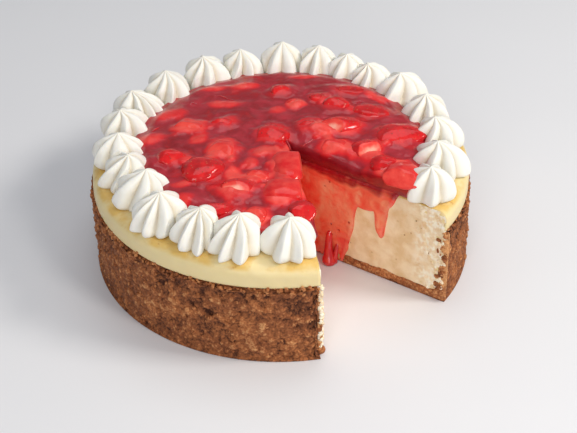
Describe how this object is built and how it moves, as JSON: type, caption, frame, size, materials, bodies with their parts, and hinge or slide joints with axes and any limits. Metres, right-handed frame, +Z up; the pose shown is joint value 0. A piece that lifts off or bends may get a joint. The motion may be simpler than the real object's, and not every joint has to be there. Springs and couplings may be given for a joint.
{
  "type": "baked cheesecake",
  "caption": "Round baked cheesecake in a crumb crust, topped with strawberry sauce, cut strawberries and a ring of piped cream, with one slice cut out.",
  "frame": {"origin": "centre of the cake's base, on the surface that it stands on", "axes": "+Z up through the cake; -Y towards the side beside which the slice is missing, which lies between -Y and +X"},
  "size_m": [0.2277, 0.2276, 0.0858],
  "materials": {
    "crust": "dry pressed brown biscuit crumb",
    "filling": "baked cream cheese, pale yellow and crumbly where cut",
    "sauce": "thick glossy strawberry sauce",
    "cream": "whipped cream with a soft sheen",
    "strawberry": "cut strawberry coated with sauce"
  },
  "bodies": {
    "root": {"crust": "crust", "filling": "filling", "sauce": "sauce", "star_01": "cream", "star_02": "cream", "star_03": "cream", "star_04": "cream", "star_05": "cream", "star_06": "cream", "star_07": "cream", "star_08": "cream", "star_09": "cream", "star_10": "cream", "star_11": "cream", "star_12": "cream", "star_13": "cream", "star_14": "cream", "star_15": "cream", "star_16": "cream", "star_17": "cream", "star_18": "cream", "star_19": "cream", "star_20": "cream", "star_21": "cream", "strawberry_01": "strawberry", "strawberry_02": "strawberry", "strawberry_03": "strawberry", "strawberry_04": "strawberry", "strawberry_05": "strawberry", "strawberry_06": "strawberry", "strawberry_07": "strawberry", "strawberry_08": "strawberry", "strawberry_09": "strawberry", "strawberry_10": "strawberry", "strawberry_11": "strawberry", "strawberry_12": "strawberry", "strawberry_13": "strawberry", "strawberry_14": "strawberry", "strawberry_15": "strawberry", "strawberry_16": "strawberry", "strawberry_17": "strawberry", "strawberry_18": "strawberry", "strawberry_19": "strawberry", "strawberry_20": "strawberry", "strawberry_21": "strawberry", "strawberry_22": "strawberry", "strawberry_23": "strawberry", "strawberry_24": "strawberry", "strawberry_25": "strawberry", "strawberry_26": "strawberry"}
  },
  "joints": []
}
